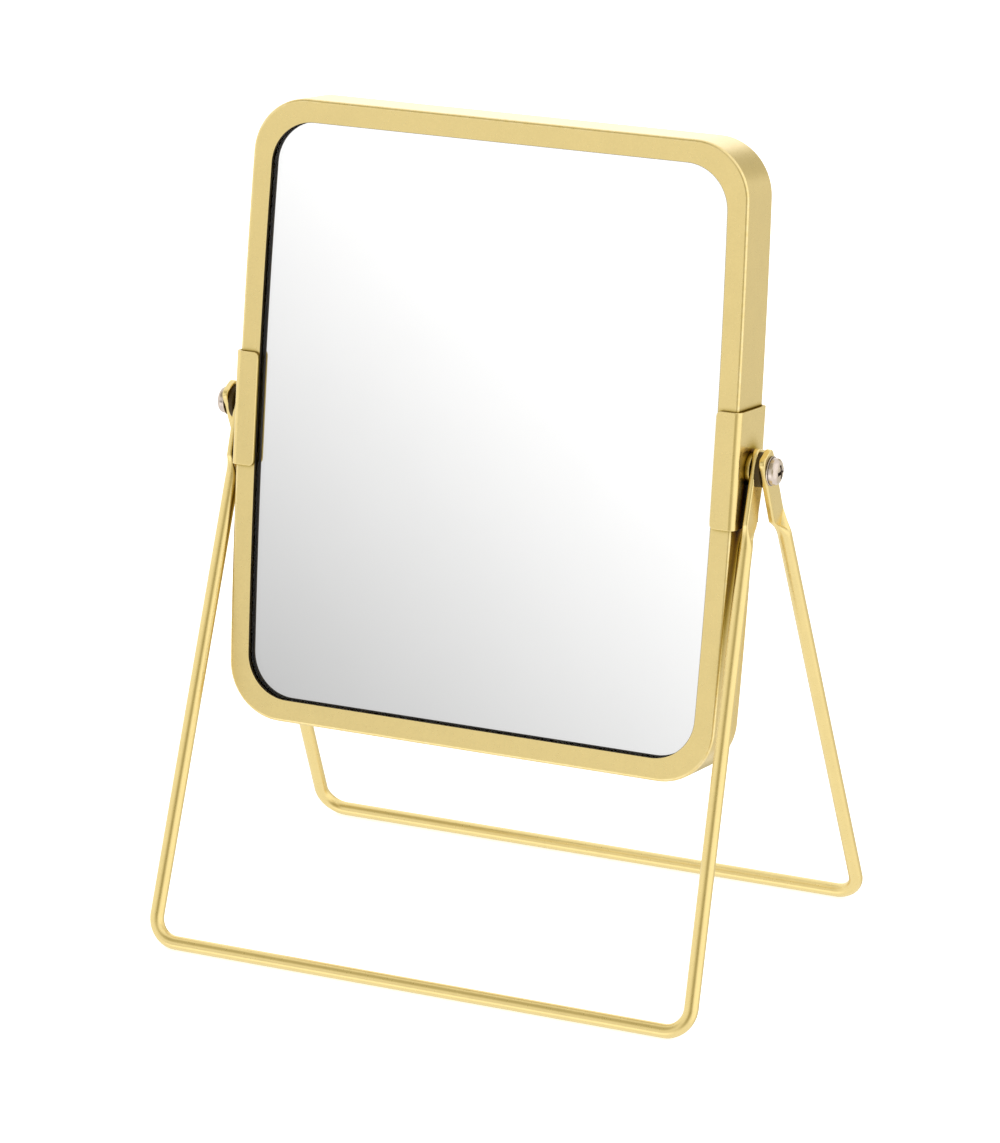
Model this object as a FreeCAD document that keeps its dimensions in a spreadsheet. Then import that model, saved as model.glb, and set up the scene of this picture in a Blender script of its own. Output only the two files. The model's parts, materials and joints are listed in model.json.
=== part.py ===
"""Folding table mirror: a rounded rectangular mirror, glazed on both sides, in a sheet-metal channel
frame, which turns between two nested U-shaped wire legs on one screw each side.

Millimetres. +X is to the right of someone looking at the mirror's front, +Y is away from them, and
+Z is up. The origin is at the base, in the middle of the box that the open mirror takes up.
"""
import FreeCAD, Part
import math
import os
import Sketcher
from FreeCAD import Placement, Rotation, Vector

SIZES = {
    # mirror head
    "frame_width": (150.2, "outside width of the channel frame, at mid height"),
    "frame_height": (175.8, "outside height of the channel frame"),
    "frame_depth": (17.5, "outside depth of the channel frame"),
    "side_radius": (2400.0, "radius of the frame's slightly bulging sides"),
    "frame_rim": (6.4, "width of the top and bottom rims that hold each glass"),
    "side_rim": (6.0, "width of the side rims"),
    "frame_sheet": (0.6, "thickness of the frame's sheet"),
    "frame_bend": (0.8, "outside radius where a rim turns into the side"),
    "frame_corner": (16.0, "outside corner radius"),
    "window_corner": (12.4, "corner radius of the opening in each rim"),
    "frame_joint": (0.2, "gap between the two frame halves, under the clips"),
    "seal_thickness": (0.25, "seal between a rim and its glass"),
    "glass_thickness": (1.8, "thickness of both glasses"),
    "glass_bite": (1.6, "how far a glass reaches behind the rims' middles"),
    "magnifier_radius": (1600.0, "radius of the hollow face of the rear glass"),
    # side clips
    "clip_height": (32.2, "height of a side clip"),
    "clip_sheet": (1.0, "thickness of a side clip"),
    "clip_gap": (0.05, "paint gap between a clip or a nut and the frame"),
    "clip_corner": (1.4, "rounded corners of a clip's flanges"),
    # pivots, from the clip outwards
    "collar_diameter": (9.0, "spacer collar"),
    "collar_thickness": (1.3, "spacer collar"),
    "friction_diameter": (9.5, "friction washer between the two legs"),
    "friction_thickness": (1.3, "friction washer between the two legs"),
    "washer_diameter": (8.2, "plain washer under the screw head"),
    "washer_thickness": (0.4, "plain washer under the screw head"),
    "running_gap": (0.05, "side play where one body turns against another"),
    "screw_diameter": (4.0, "M4 screw"),
    "screw_chamfer": (0.5, "chamfer at the screw's tip"),
    "screw_tip": (0.4, "how far the screw stands out of its nut"),
    "head_diameter": (7.5, "pan head"),
    "head_height": (2.6, "pan head, to the top of its dome"),
    "head_edge": (1.0, "straight part of the pan head's side"),
    "recess_span": (4.4, "cross recess, tip to tip"),
    "recess_width": (1.1, "cross recess, width of an arm"),
    "recess_depth": (1.6, "cross recess"),
    "nut_flats": (7.0, "M4 nut across its flats"),
    "nut_height": (3.2, "M4 nut"),
    "thread_clearance": (0.02, "diametral, between screw and nut"),
    "running_fit": (0.10, "diametral, between screw and leg"),
    "loose_fit": (0.30, "diametral, between screw and clip, collar or washer"),
    # legs: lengths run from the pivot to the middle of the bottom bar's wire
    "wire_diameter": (4.0, "painted wire"),
    "leg_bend": (7.0, "bend radius at a leg's bottom corners, to the wire's middle"),
    "front_length": (153.4, "front leg"),
    "rear_length": (157.8, "rear leg"),
    "front_foot": (81.8, "half the front leg's width at the bottom"),
    "rear_foot": (86.2, "half the rear leg's width at the bottom"),
    "front_top": (77.4, "half the front leg's width at the pivot's height"),
    "rear_top": (82.3, "half the rear leg's width at the pivot's height"),
    "front_tab": (1.55, "thickness of the front leg's flattened ends"),
    "rear_tab": (1.75, "thickness of the rear leg's flattened ends"),
    "tab_width": (7.4, "width of a flattened end"),
    "tab_above": (5.5, "flattened end above the pivot"),
    "tab_below": (15.5, "flattened end below the pivot"),
    "tab_corner": (2.0, "rounded top corners of a flattened end"),
    "neck_below": (19.5, "where the wire is round again, below the pivot"),
    # pose in use, in degrees
    "front_lean": (19.9, "front leg from the upright"),
    "mirror_tilt": (7.6, "mirror from the upright, top leaning back"),
}


class Size:
    """A sheet value, or one worked out from sheet values, with the expression that gives it."""

    def __init__(self, number, text):
        self.number = number
        self.text = text

    def _join(self, sign, other, number):
        text = other.text if isinstance(other, Size) else repr(other)
        return Size(number, f"({self.text} {sign} {text})")

    def __add__(self, other):
        return self._join("+", other, self.number + number_of(other))

    def __sub__(self, other):
        return self._join("-", other, self.number - number_of(other))

    def __mul__(self, other):
        return self._join("*", other, self.number * number_of(other))

    def __truediv__(self, other):
        return self._join("/", other, self.number / number_of(other))

    def __neg__(self):
        return Size(-self.number, f"(-{self.text})")


def number_of(value):
    return value.number if isinstance(value, Size) else value


def write_sheet(document):
    """Put every size in the sheet, one to a row, and give its value cell an alias."""
    sheet = document.addObject("Spreadsheet::Sheet", "Sizes")
    for row, (name, (number, note)) in enumerate(SIZES.items(), start=1):
        sheet.set(f"A{row}", name)
        sheet.set(f"B{row}", str(number))
        sheet.set(f"C{row}", note)
        sheet.setAlias(f"B{row}", name)
    document.recompute()


def size(name):
    return Size(SIZES[name][0], f"Sizes.{name}")


DOCUMENT = FreeCAD.newDocument("folding_table_mirror")
write_sheet(DOCUMENT)

HALF_WIDTH = size("frame_width") / 2
HALF_DEPTH = size("frame_depth") / 2
WINDOW_WIDTH = size("frame_width") - size("side_rim") * 2
WINDOW_HEIGHT = size("frame_height") - size("frame_rim") * 2
WINDOW_SIDE_RADIUS = size("side_radius") - size("side_rim")
GLASS_WIDTH = WINDOW_WIDTH + size("glass_bite") * 2
GLASS_HEIGHT = WINDOW_HEIGHT + size("glass_bite") * 2
GLASS_CORNER = size("window_corner") + size("glass_bite")

# faces of the pivot stack, as distances from the middle of the mirror
CLIP_INNER = HALF_WIDTH + size("clip_gap")
CLIP_OUTER = CLIP_INNER + size("clip_sheet")
COLLAR_OUTER = CLIP_OUTER + size("collar_thickness")
FRONT_TAB_INNER = COLLAR_OUTER + size("running_gap")
FRONT_TAB_OUTER = FRONT_TAB_INNER + size("front_tab")
FRICTION_OUTER = FRONT_TAB_OUTER + size("friction_thickness")
REAR_TAB_INNER = FRICTION_OUTER + size("running_gap")
REAR_TAB_OUTER = REAR_TAB_INNER + size("rear_tab")
WASHER_INNER = REAR_TAB_OUTER + size("running_gap")
HEAD_SEAT = WASHER_INNER + size("washer_thickness")
NUT_OUTER = HALF_WIDTH - size("frame_sheet") - size("clip_gap")
NUT_INNER = NUT_OUTER - size("nut_height")
SCREW_TIP = NUT_INNER - size("screw_tip")

# faces across the mirror's depth: the front glass is flat, the rear glass is hollow
FRONT_GLASS_FACE = HALF_DEPTH - size("frame_sheet") - size("seal_thickness")
FRONT_GLASS_BACK = FRONT_GLASS_FACE - size("glass_thickness")
REAR_LIP = HALF_DEPTH - size("frame_sheet")


# ---- poses of the three moving bodies ------------------------------------------------------------

def pivot_height():
    """Both bottom bars rest on the ground, so the front leg's length and lean give the height."""
    lean = math.radians(size("front_lean").number)
    return size("front_length").number * math.cos(lean) + size("wire_diameter").number / 2


def rear_lean():
    rise = pivot_height() - size("wire_diameter").number / 2
    return math.degrees(math.acos(rise / size("rear_length").number))


def pivot_setback():
    """The pivot's place along Y that puts the origin midway between the front and rear bars."""
    front = size("front_length").number * math.sin(math.radians(size("front_lean").number))
    rear = size("rear_length").number * math.sin(math.radians(rear_lean()))
    return (front - rear) / 2


def at_pivot(lean):
    """A body drawn upright about the pivot, leant about X and set at its height."""
    place = Vector(0, pivot_setback(), pivot_height())
    return Placement(place, Rotation(Vector(1, 0, 0), lean))


MIRROR = at_pivot(-size("mirror_tilt").number)
FRONT_LEG = at_pivot(-size("front_lean").number)
REAR_LEG = at_pivot(rear_lean())

AS_DRAWN = Placement()
OTHER_SIDE = Placement(Vector(), Rotation(Vector(0, 0, 1), 180))
UPSIDE_DOWN = Placement(Vector(), Rotation(Vector(0, 1, 0), 180))


# a screw stops wherever it is tight, so each cross recess points its own way
RIGHT_SCREW_TURN = Placement(Vector(), Rotation(Vector(1, 0, 0), 15))
LEFT_SCREW_TURN = Placement(Vector(), Rotation(Vector(1, 0, 0), 40))


# ---- sketches ------------------------------------------------------------------------------------

def new_body(label):
    body = DOCUMENT.addObject("PartDesign::Body", label)
    body.Label = label
    return body


def sketch_on(body, name, role, offset=None):
    """A sketch on one of the body's own planes, moved along the plane's normal by an offset.

    XY_Plane: (x, y), normal +Z.  XZ_Plane: (x, z), normal -Y.  YZ_Plane: (y, z), normal +X.
    """
    sketch = body.newObject("Sketcher::SketchObject", name)
    plane = [item for item in body.Origin.OriginFeatures if item.Role == role][0]
    sketch.AttachmentSupport = [(plane, "")]
    sketch.MapMode = "FlatFace"
    if offset is not None:
        sketch.setExpression(".AttachmentOffset.Base.z", offset.text)
    return sketch


def hold(sketch, kind, *where):
    return sketch.addConstraint(Sketcher.Constraint(kind, *where))


def dimension(sketch, kind, *where):
    """A dimension whose last argument is a Size: it starts at the number and follows the sheet."""
    target = where[-1]
    index = hold(sketch, kind, *where[:-1], target.number)
    sketch.setExpression(f"Constraints[{index}]", target.text)


def line(sketch, start, end):
    return sketch.addGeometry(Part.LineSegment(Vector(*start, 0), Vector(*end, 0)))


def arc(sketch, centre, radius, start_deg, end_deg):
    circle = Part.Circle(Vector(*centre, 0), Vector(0, 0, 1), radius)
    angles = math.radians(start_deg), math.radians(end_deg)
    return sketch.addGeometry(Part.ArcOfCircle(circle, *angles))


def circle(sketch, diameter, below=None):
    """A circle about the sketch's origin, or at a distance straight below it."""
    centre = Vector(0, 0 if below is None else -below.number, 0)
    index = sketch.addGeometry(Part.Circle(centre, Vector(0, 0, 1), diameter.number / 2))
    if below is None:
        hold(sketch, "Coincident", index, 3, -1, 1)
    else:
        hold(sketch, "PointOnObject", index, 3, -2)
        dimension(sketch, "DistanceY", index, 3, -1, 1, below)
    dimension(sketch, "Diameter", index, diameter)


def rectangle(sketch, left, right, bottom, top):
    """An upright rectangle, each side held at its own Size from the origin."""
    x0, x1, y0, y1 = left.number, right.number, bottom.number, top.number
    corners = [(x0, y0), (x1, y0), (x1, y1), (x0, y1)]
    sides = [line(sketch, corners[i], corners[(i + 1) % 4]) for i in range(4)]
    for i in range(4):
        hold(sketch, "Coincident", sides[i], 2, sides[(i + 1) % 4], 1)
        hold(sketch, "Vertical" if i % 2 else "Horizontal", sides[i])
    dimension(sketch, "DistanceX", -1, 1, sides[0], 1, left)
    dimension(sketch, "DistanceY", -1, 1, sides[0], 1, bottom)
    dimension(sketch, "DistanceX", -1, 1, sides[2], 1, right)
    dimension(sketch, "DistanceY", -1, 1, sides[2], 1, top)


def rounded_rectangle(sketch, width, height, radius, side_radius=None):
    """A rounded rectangle about the origin: four sides and four corners, taken anticlockwise.

    With a side_radius, the left and right sides are shallow arcs that bulge outwards, and width is
    measured across their middles.
    """
    x, y, r = width.number / 2, height.number / 2, radius.number
    if side_radius is None:
        slant = 0.0
        corner_x = x - r
    else:
        inner_radius = side_radius.number - r
        slant = math.degrees(math.asin((y - r) / inner_radius))
        corner_x = x - side_radius.number + inner_radius * math.cos(math.radians(slant))

    def upright(side):
        """The right side for side = 1, the left one for -1."""
        if side_radius is None:
            return line(sketch, (side * x, side * (r - y)), (side * x, side * (y - r)))
        facing = 0 if side > 0 else 180
        centre = (side * (x - side_radius.number), 0)
        return arc(sketch, centre, side_radius.number, facing - slant, facing + slant)

    bottom = line(sketch, (-corner_x, -y), (corner_x, -y))
    right_bottom = arc(sketch, (corner_x, r - y), r, 270, 360 - slant)
    right = upright(1)
    right_top = arc(sketch, (corner_x, y - r), r, slant, 90)
    top = line(sketch, (corner_x, y), (-corner_x, y))
    left_top = arc(sketch, (-corner_x, y - r), r, 90, 180 - slant)
    left = upright(-1)
    left_bottom = arc(sketch, (-corner_x, r - y), r, 180 + slant, 270)
    loop = [bottom, right_bottom, right, right_top, top, left_top, left, left_bottom]
    for first, second in zip(loop, loop[1:] + loop[:1]):
        hold(sketch, "Tangent", first, 2, second, 1)
    for side in (bottom, top):
        hold(sketch, "Horizontal", side)
    for corner in (right_top, left_top, left_bottom):
        hold(sketch, "Equal", right_bottom, corner)
    dimension(sketch, "Radius", right_bottom, radius)
    dimension(sketch, "DistanceY", bottom, 1, top, 1, height)
    dimension(sketch, "DistanceY", -1, 1, top, 1, height / 2)
    if side_radius is None:
        for side in (left, right):
            hold(sketch, "Vertical", side)
        dimension(sketch, "DistanceX", left, 1, right, 1, width)
        dimension(sketch, "DistanceX", -1, 1, right, 1, width / 2)
    else:
        for side in (left, right):
            hold(sketch, "PointOnObject", side, 3, -1)
            dimension(sketch, "Radius", side, side_radius)
        dimension(sketch, "DistanceX", right, 3, -1, 1, side_radius - width / 2)
        dimension(sketch, "DistanceX", -1, 1, left, 3, side_radius - width / 2)


# ---- features ------------------------------------------------------------------------------------

def extrude(body, kind, sketch, length, both_ways=False):
    """A Pad or a Pocket of the sketch. A Pocket has to take material away, or it is an error."""
    DOCUMENT.recompute()
    before = body.Shape.Volume if kind == "Pocket" else 0
    feature = body.newObject(f"PartDesign::{kind}", f"{kind}_{sketch.Name}")
    feature.Profile = sketch
    feature.SideType = "Symmetric" if both_ways else "One side"
    feature.setExpression("Length", length.text)
    DOCUMENT.recompute()
    if kind == "Pocket" and not feature.Shape.Volume < before - 1e-6:
        raise RuntimeError(f"{feature.Name} cuts nothing")
    return feature


def edges_where(shape, test):
    return [f"Edge{i}" for i, edge in enumerate(shape.Edges, start=1) if test(edge)]


def all_at(edge, axis, place, sign=True):
    """Whether the edge lies at one distance along an axis; sign=False takes either side."""
    spots = [getattr(vertex.Point, axis) for vertex in edge.Vertexes]
    if not sign:
        spots = [abs(spot) for spot in spots]
    return all(abs(spot - place) < 1e-4 for spot in spots)


def along(edge, axis):
    """Whether the edge is a straight one that runs along an axis."""
    if edge.Curve.TypeId != "Part::GeomLine":
        return False
    return abs(getattr(edge.Curve.Direction, axis)) > 0.999


def dress(body, kind, radius, test):
    """A Fillet or Chamfer on the edges that pass the test."""
    base = body.Tip
    names = edges_where(base.Shape, test)
    feature = body.newObject(f"PartDesign::{kind}", f"{kind}_{body.Label}")
    feature.Base = (base, names)
    feature.setExpression("Radius" if kind == "Fillet" else "Size", radius.text)
    DOCUMENT.recompute()
    return feature


def disc_ring(label, diameter, hole, inner_face, thickness):
    """A round piece with a hole, on the pivot axis, starting at inner_face."""
    body = new_body(label)
    sketch = sketch_on(body, f"{label}_round", "YZ_Plane", inner_face)
    circle(sketch, diameter)
    circle(sketch, hole)
    extrude(body, "Pad", sketch, thickness)
    return body


def glazing_block(label, width, height, corner, front_face, thickness):
    """A rounded plate behind the front rim: front_face is its distance in front of the middle."""
    body = new_body(label)
    sketch = sketch_on(body, f"{label}_outline", "XZ_Plane", front_face - thickness)
    rounded_rectangle(sketch, width, height, corner)
    extrude(body, "Pad", sketch, thickness)
    return body


# ---- mirror head ---------------------------------------------------------------------------------

def frame_half(label):
    """The upper half of the frame: a channel, open inwards, bent round the two upper corners.

    The lower half is the same piece turned upside down. The two meet under the side clips, where
    a half-round notch in each end lets the pivot screw through.
    """
    body = new_body(label)
    outline = sketch_on(body, f"{label}_outline", "XZ_Plane")
    rounded_rectangle(outline, size("frame_width"), size("frame_height"), size("frame_corner"),
                      size("side_radius"))
    extrude(body, "Pad", outline, size("frame_depth"), both_ways=True)
    face = HALF_DEPTH.number
    dress(body, "Fillet", size("frame_bend"), lambda edge: all_at(edge, "y", face, sign=False))

    window = sketch_on(body, f"{label}_window", "XZ_Plane")
    rounded_rectangle(window, WINDOW_WIDTH, WINDOW_HEIGHT, size("window_corner"),
                      WINDOW_SIDE_RADIUS)
    extrude(body, "Pocket", window, size("frame_depth") * 2, both_ways=True)

    channel = sketch_on(body, f"{label}_channel", "XZ_Plane")
    sheet = size("frame_sheet")
    inside_width = size("frame_width") - sheet * 2
    inside_height = size("frame_height") - sheet * 2
    rounded_rectangle(channel, inside_width, inside_height, size("frame_corner") - sheet,
                      size("side_radius") - sheet)
    extrude(body, "Pocket", channel, size("frame_depth") - sheet * 2, both_ways=True)

    notch = sketch_on(body, f"{label}_notch", "YZ_Plane")
    circle(notch, size("screw_diameter") + size("loose_fit"))
    extrude(body, "Pocket", notch, size("frame_width") * 2, both_ways=True)

    other_half = sketch_on(body, f"{label}_other_half", "XZ_Plane")
    rectangle(other_half, -size("frame_width"), size("frame_width"),
              -size("frame_height"), size("frame_joint") / 2)
    extrude(body, "Pocket", other_half, size("frame_depth") * 2, both_ways=True)
    return body


def side_clip(label):
    """The right clip: a strip folded round the frame's side, flush with the rims' inner edges."""
    body = new_body(label)
    section = sketch_on(body, f"{label}_section", "XY_Plane")
    flange_end = HALF_WIDTH - size("side_rim")
    inner_depth = HALF_DEPTH + size("clip_gap")
    outer_depth = inner_depth + size("clip_sheet")
    rectangle(section, flange_end, CLIP_OUTER, -outer_depth, outer_depth)
    extrude(body, "Pad", section, size("clip_height"), both_ways=True)
    inner_bend = size("frame_bend") + size("clip_gap")
    dress(body, "Fillet", inner_bend + size("clip_sheet"),
          lambda edge: along(edge, "z") and all_at(edge, "x", CLIP_OUTER.number))

    inside = sketch_on(body, f"{label}_inside", "XY_Plane")
    rectangle(inside, flange_end / 2, CLIP_INNER, -inner_depth, inner_depth)
    extrude(body, "Pocket", inside, size("clip_height") * 2, both_ways=True)
    dress(body, "Fillet", inner_bend,
          lambda edge: along(edge, "z") and all_at(edge, "x", CLIP_INNER.number))
    dress(body, "Fillet", size("clip_corner"),
          lambda edge: along(edge, "y") and all_at(edge, "x", flange_end.number))

    hole = sketch_on(body, f"{label}_hole", "YZ_Plane", CLIP_INNER)
    circle(hole, size("screw_diameter") + size("loose_fit"))
    extrude(body, "Pocket", hole, size("clip_sheet") * 3, both_ways=True)
    return body


def seal_ring(label, front_face, thickness):
    """A flat ring that fills the rim's bite on a glass, inner edge flush with the rim's."""
    body = glazing_block(label, GLASS_WIDTH, GLASS_HEIGHT, GLASS_CORNER, front_face, thickness)
    window = sketch_on(body, f"{label}_window", "XZ_Plane")
    rounded_rectangle(window, WINDOW_WIDTH, WINDOW_HEIGHT, size("window_corner"),
                      WINDOW_SIDE_RADIUS)
    extrude(body, "Pocket", window, size("frame_depth") * 2, both_ways=True)
    return body


def hollow_ball(name, ball_radius):
    """A ball behind the mirror. Its surface is the rear glass's hollow face, or its back.

    The glass's corners touch the rear seal, so the ball's middle is found from a corner: the point
    of the rounded corner that is furthest from the mirror's middle.
    """
    ball = DOCUMENT.addObject("Part::Sphere", name)
    ball.setExpression("Radius", ball_radius.text)
    radius = size("magnifier_radius")
    corner = GLASS_CORNER
    across = f"({(GLASS_WIDTH / 2 - corner).text} + {corner.text} * sqrt(0.5))"
    upward = f"({(GLASS_HEIGHT / 2 - corner).text} + {corner.text} * sqrt(0.5))"
    corner_face = REAR_LIP - size("seal_thickness")
    reach = f"sqrt({radius.text} * {radius.text} - {across} * {across} - {upward} * {upward})"
    ball.setExpression("Placement.Base.y", f"{corner_face.text} + {reach}")
    return ball


def boolean(kind, label, base, tool):
    result = DOCUMENT.addObject(f"Part::{kind}", label)
    result.Label = label
    result.Base = base
    result.Tool = tool
    DOCUMENT.recompute()
    return result


def rear_glazing(face_ball, back_ball):
    """The hollow rear glass, the seal moulded to its edge, and the foam core under it."""
    reach_back = REAR_LIP + FRONT_GLASS_BACK
    blank = glazing_block("rear_glass_blank", GLASS_WIDTH, GLASS_HEIGHT, GLASS_CORNER,
                          FRONT_GLASS_BACK, reach_back)
    bent = boolean("Common", "rear_glass_bent", blank, back_ball)
    glass = boolean("Cut", "rear_magnifying_glass", bent, face_ball)

    ring = seal_ring("rear_seal_ring", FRONT_GLASS_BACK, reach_back)
    seal = boolean("Common", "glass_seal_rear", ring, face_ball)

    block = glazing_block("foam_block", GLASS_WIDTH, GLASS_HEIGHT, GLASS_CORNER,
                          FRONT_GLASS_BACK, reach_back)
    core = boolean("Cut", "foam_core", block, back_ball)
    return [glass, seal, core]


# ---- pivots --------------------------------------------------------------------------------------

def pivot_nut(label):
    """An M4 nut behind the frame's side wall."""
    body = new_body(label)
    sketch = sketch_on(body, f"{label}_hexagon", "YZ_Plane", NUT_INNER)
    flats = size("nut_flats")
    radius = flats.number / math.sqrt(3)
    corners = [(radius * math.cos(math.radians(60 * i)), radius * math.sin(math.radians(60 * i)))
               for i in range(6)]
    sides = [line(sketch, corners[i], corners[(i + 1) % 6]) for i in range(6)]
    for i in range(6):
        hold(sketch, "Coincident", sides[i], 2, sides[(i + 1) % 6], 1)
    for side in sides[1:]:
        hold(sketch, "Equal", sides[0], side)
    hold(sketch, "PointOnObject", sides[0], 1, -1)
    hold(sketch, "Symmetric", sides[0], 1, sides[3], 1, -1, 1)
    hold(sketch, "Horizontal", sides[1])
    dimension(sketch, "DistanceY", sides[4], 1, sides[1], 1, flats)
    circle(sketch, size("screw_diameter") + size("thread_clearance"))
    extrude(body, "Pad", sketch, size("nut_height"))
    return body


def pivot_screw(label):
    """A pan-head screw: half its outline turned about the pivot axis, then the cross recess."""
    body = new_body(label)
    profile = sketch_on(body, f"{label}_profile", "XY_Plane")
    tip, seat = SCREW_TIP.number, HEAD_SEAT.number
    shank, head = size("screw_diameter") / 2, size("head_diameter") / 2
    top = seat + size("head_height").number
    edge = seat + size("head_edge").number
    chamfer = size("screw_chamfer")
    rise = top - edge
    dome_radius = (head.number ** 2 + rise ** 2) / (2 * rise)
    dome_start = math.degrees(math.asin(head.number / dome_radius))
    corners = [(top, 0), (tip, 0), (tip, shank.number - chamfer.number),
               (tip + chamfer.number, shank.number), (seat, shank.number),
               (seat, head.number), (edge, head.number)]
    sides = [line(profile, *pair) for pair in zip(corners, corners[1:])]
    dome = arc(profile, (top - dome_radius, 0), dome_radius, 0, dome_start)
    for first, second in zip(sides, sides[1:]):
        hold(profile, "Coincident", first, 2, second, 1)
    hold(profile, "Coincident", sides[-1], 2, dome, 2)
    hold(profile, "Coincident", dome, 1, sides[0], 1)
    hold(profile, "PointOnObject", sides[0], 1, -1)
    hold(profile, "PointOnObject", sides[1], 1, -1)
    hold(profile, "PointOnObject", dome, 3, -1)
    for upright in (sides[1], sides[4]):
        hold(profile, "Vertical", upright)
    for level in (sides[3], sides[5]):
        hold(profile, "Horizontal", level)
    dimension(profile, "DistanceX", -1, 1, sides[1], 1, SCREW_TIP)
    dimension(profile, "DistanceX", sides[1], 1, sides[3], 1, chamfer)
    dimension(profile, "DistanceY", sides[2], 1, sides[2], 2, chamfer)
    dimension(profile, "DistanceY", -1, 1, sides[3], 1, shank)
    dimension(profile, "DistanceX", -1, 1, sides[4], 1, HEAD_SEAT)
    dimension(profile, "DistanceY", -1, 1, sides[5], 1, head)
    dimension(profile, "DistanceX", sides[5], 1, sides[5], 2, size("head_edge"))
    dimension(profile, "DistanceX", sides[4], 1, dome, 1, size("head_height"))
    turned = body.newObject("PartDesign::Revolution", f"{label}_turned")
    turned.Profile = profile
    turned.ReferenceAxis = (profile, ["H_Axis"])
    DOCUMENT.recompute()

    slot = sketch_on(body, f"{label}_recess", "YZ_Plane", HEAD_SEAT + size("head_height"))
    half_span, half_arm = size("recess_span") / 2, size("recess_width") / 2
    rectangle(slot, -half_span, half_span, -half_arm, half_arm)
    pocket = extrude(body, "Pocket", slot, size("recess_depth"))
    cross = body.newObject("PartDesign::PolarPattern", f"{label}_cross")
    cross.Originals = [pocket]
    cross.Axis = (profile, ["H_Axis"])
    cross.Angle = 180
    cross.Occurrences = 3
    body.Tip = cross
    DOCUMENT.recompute()
    return body


# ---- legs ----------------------------------------------------------------------------------------

def half_width_at(drop, top, foot, length):
    """Half a leg's width at a distance below the pivot: the two sides spread evenly downwards."""
    return top + (foot - top) * drop / length


def leg_path(body, label, top, foot, length):
    """The wire's middle line on the right: half the bottom bar, the bend, and the side to its neck."""
    sketch = sketch_on(body, f"{label}_path", "XZ_Plane")
    neck = size("neck_below")
    neck_half = half_width_at(neck, top, foot, length)
    bend = size("leg_bend").number
    slope = math.atan2(foot.number - top.number, length.number)
    tangent = bend * math.tan((math.pi / 2 + slope) / 2)
    side_x = foot.number - tangent * math.sin(slope)
    side_z = -length.number + tangent * math.cos(slope)
    bar_x = foot.number - tangent

    bar = line(sketch, (0, -length.number), (bar_x, -length.number))
    corner_bend = arc(sketch, (bar_x, bend - length.number), bend, 270, 360 + math.degrees(slope))
    side = line(sketch, (side_x, side_z), (neck_half.number, -neck.number))
    corner = sketch.addGeometry(Part.Point(Vector(foot.number, -length.number, 0)), True)

    hold(sketch, "Tangent", bar, 2, corner_bend, 1)
    hold(sketch, "Tangent", corner_bend, 2, side, 1)
    hold(sketch, "Horizontal", bar)
    hold(sketch, "PointOnObject", bar, 1, -2)
    hold(sketch, "PointOnObject", corner, 1, bar)
    hold(sketch, "PointOnObject", corner, 1, side)
    dimension(sketch, "Radius", corner_bend, size("leg_bend"))
    dimension(sketch, "DistanceY", bar, 1, -1, 1, length)
    dimension(sketch, "DistanceX", -1, 1, corner, 1, foot)
    dimension(sketch, "DistanceX", -1, 1, side, 2, neck_half)
    dimension(sketch, "DistanceY", side, 2, -1, 1, neck)
    return sketch


def neck_section(body, label, top, foot, length):
    """The round section at the neck, square to the side wire, which leans out a little."""
    neck = size("neck_below")
    sketch = sketch_on(body, f"{label}_neck", "XY_Plane", -neck)
    neck_half = half_width_at(neck, top, foot, length)
    spread = (foot - top) / length
    offset = Vector(neck_half.number, 0, -neck.number)
    lean = Rotation(Vector(0, -1, 0), math.degrees(math.atan(spread.number)))
    sketch.AttachmentOffset = Placement(offset, lean)
    sketch.setExpression(".AttachmentOffset.Base.x", neck_half.text)
    sketch.setExpression(".AttachmentOffset.Rotation.Angle", f"atan({spread.text})")
    circle(sketch, size("wire_diameter"))
    return sketch


def wire_leg(label, top, foot, length, tab_inner, tab_outer):
    """A U of round wire whose two ends are pressed flat and drilled for the pivot screws.

    Half of it is drawn, from the middle of the bottom bar to the right end, and mirrored.
    """
    body = new_body(label)
    path = leg_path(body, label, top, foot, length)
    section = sketch_on(body, f"{label}_section", "YZ_Plane")
    circle(section, size("wire_diameter"), below=length)
    wire = body.newObject("PartDesign::AdditivePipe", f"{label}_wire")
    wire.Profile = section
    wire.Spine = (path, ["Edge1", "Edge2", "Edge3"])
    DOCUMENT.recompute()

    half_tab = size("tab_width") / 2
    tab = sketch_on(body, f"{label}_tab", "YZ_Plane", tab_inner)
    rectangle(tab, -half_tab, half_tab, -size("tab_below"), size("tab_above"))
    flat = extrude(body, "Pad", tab, tab_outer - tab_inner)

    tab_end = sketch_on(body, f"{label}_tab_end", "XY_Plane", -size("tab_below"))
    rectangle(tab_end, tab_inner, tab_outer, -half_tab, half_tab)
    shoulder = body.newObject("PartDesign::AdditiveLoft", f"{label}_shoulder")
    shoulder.Profile = tab_end
    shoulder.Sections = [neck_section(body, label, top, foot, length)]
    DOCUMENT.recompute()

    both = body.newObject("PartDesign::Mirrored", f"{label}_both_ends")
    both.Originals = [wire, flat, shoulder]
    plane = [item for item in body.Origin.OriginFeatures if item.Role == "YZ_Plane"][0]
    both.MirrorPlane = (plane, [""])
    body.Tip = both
    DOCUMENT.recompute()
    dress(body, "Fillet", size("tab_corner"),
          lambda edge: along(edge, "x") and all_at(edge, "z", size("tab_above").number))

    hole = sketch_on(body, f"{label}_hole", "YZ_Plane")
    circle(hole, size("screw_diameter") + size("running_fit"))
    extrude(body, "Pocket", hole, tab_outer * 3, both_ways=True)
    return body


# ---- assembly ------------------------------------------------------------------------------------

def place(part, group, side=AS_DRAWN):
    part.Placement = group.multiply(side)
    return part


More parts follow.
